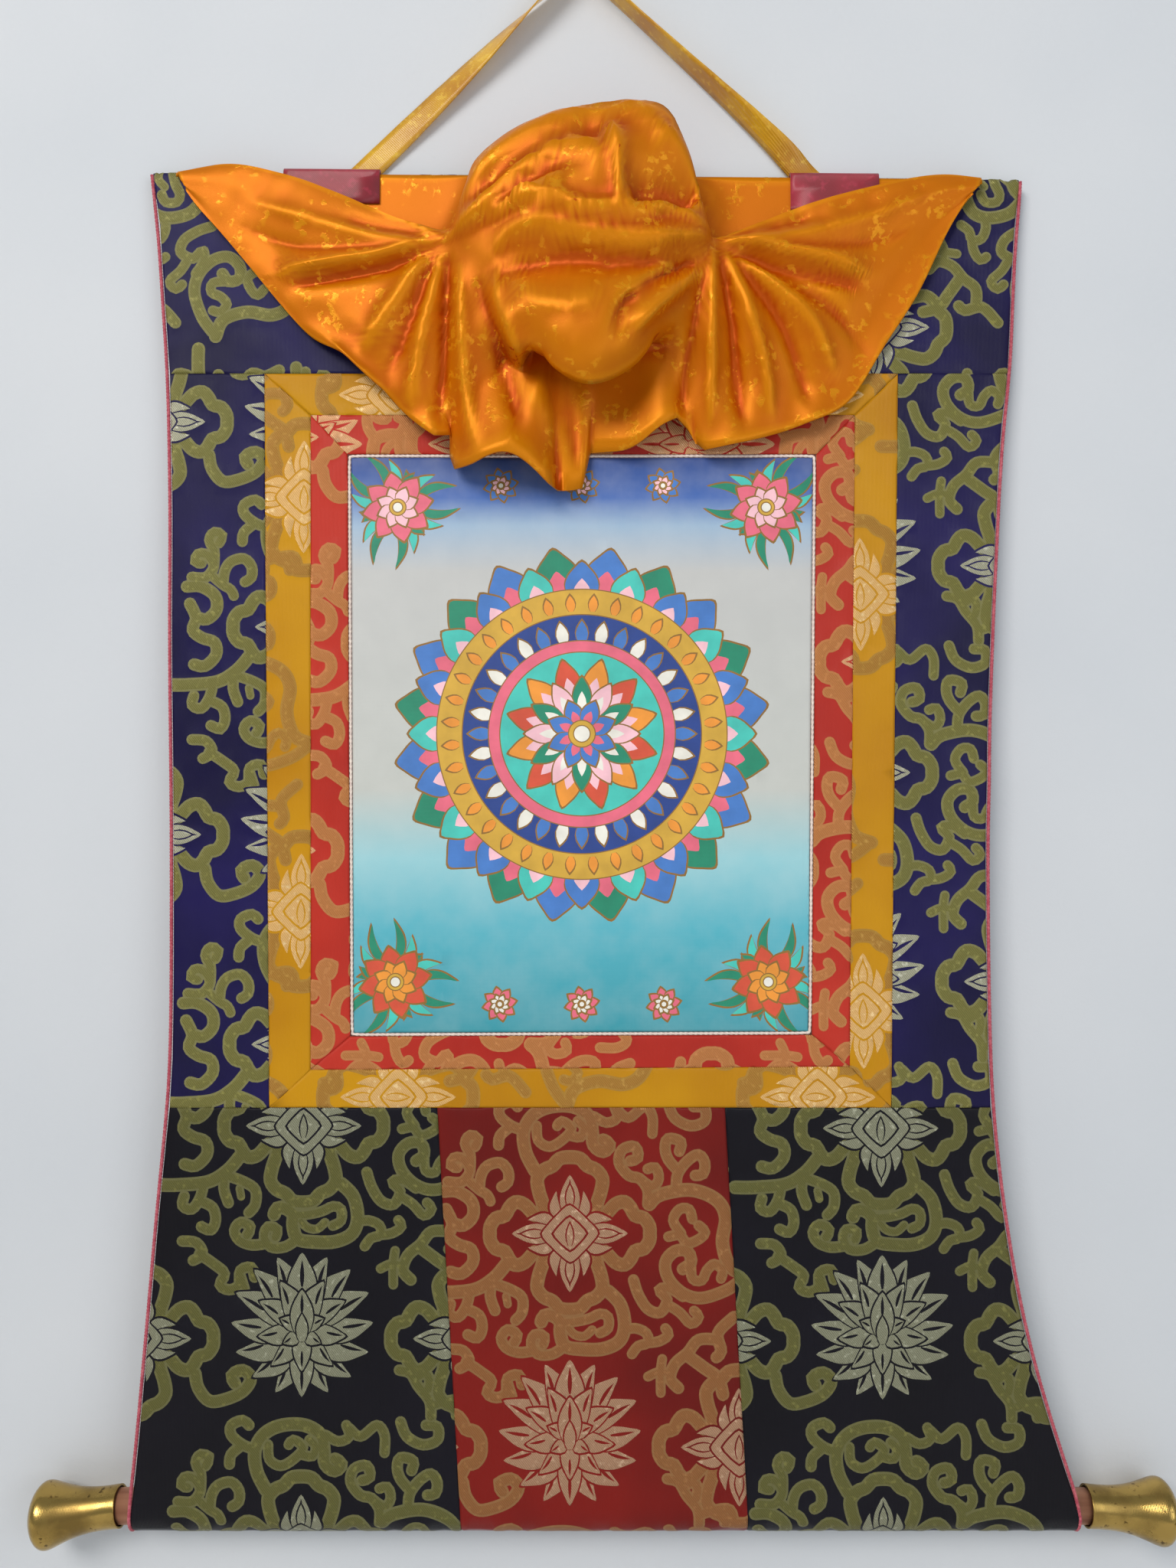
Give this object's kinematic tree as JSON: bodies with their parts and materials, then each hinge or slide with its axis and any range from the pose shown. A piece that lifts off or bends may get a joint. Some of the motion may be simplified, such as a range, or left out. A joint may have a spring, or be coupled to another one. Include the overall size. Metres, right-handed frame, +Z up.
{
  "type": "thangka scroll painting with its bottom rod",
  "caption": "Hanging scroll: picture framed in red and yellow brocade on navy brocade panels, drawn-up orange silk veil, ribbon loop, wooden rod with brass knobs.",
  "frame": {"origin": "the point under the ribbon's arc that rests on the nail", "axes": "+Z up along the scroll, +X to the right seen from the front, the front faces -Y and the wall stands at y = +0.010"},
  "size_m": [0.7265, 0.0711, 1.0161],
  "materials": {
    "picture": "smooth painted cloth, slightly satin",
    "piping": "twisted cotton cord",
    "red_brocade": "satin ground with raised metallic brocade",
    "yellow_brocade": "satin ground with raised metallic brocade",
    "navy_brocade": "satin ground with raised metallic brocade",
    "edge_cord": "matt wrapped cord",
    "orange_silk": "glossy damask silk",
    "ribbon": "satin ribbon",
    "crimson_cloth": "satin cloth",
    "wood": "plain turned wood",
    "brass": "worn polished brass"
  },
  "bodies": {
    "root": {"picture_panel": "picture", "picture_piping": "piping", "red_border_top": "red_brocade", "red_border_bottom": "red_brocade", "red_border_left": "red_brocade", "red_border_right": "red_brocade", "yellow_border_top": "yellow_brocade", "yellow_border_bottom": "yellow_brocade", "yellow_border_left": "yellow_brocade", "yellow_border_right": "yellow_brocade", "navy_top_panel": "navy_brocade", "navy_left_strip": "navy_brocade", "navy_right_strip": "navy_brocade", "navy_lower_left_panel": "navy_brocade", "red_lower_centre_panel": "red_brocade", "navy_lower_right_panel": "navy_brocade", "edge_cord_left": "edge_cord", "edge_cord_right": "edge_cord", "silk_veil": "orange_silk", "hanging_ribbon": "ribbon", "patch_left": "crimson_cloth", "patch_right": "crimson_cloth", "bottom_rod": "wood", "knob_left": "brass", "knob_right": "brass"}
  },
  "joints": []
}
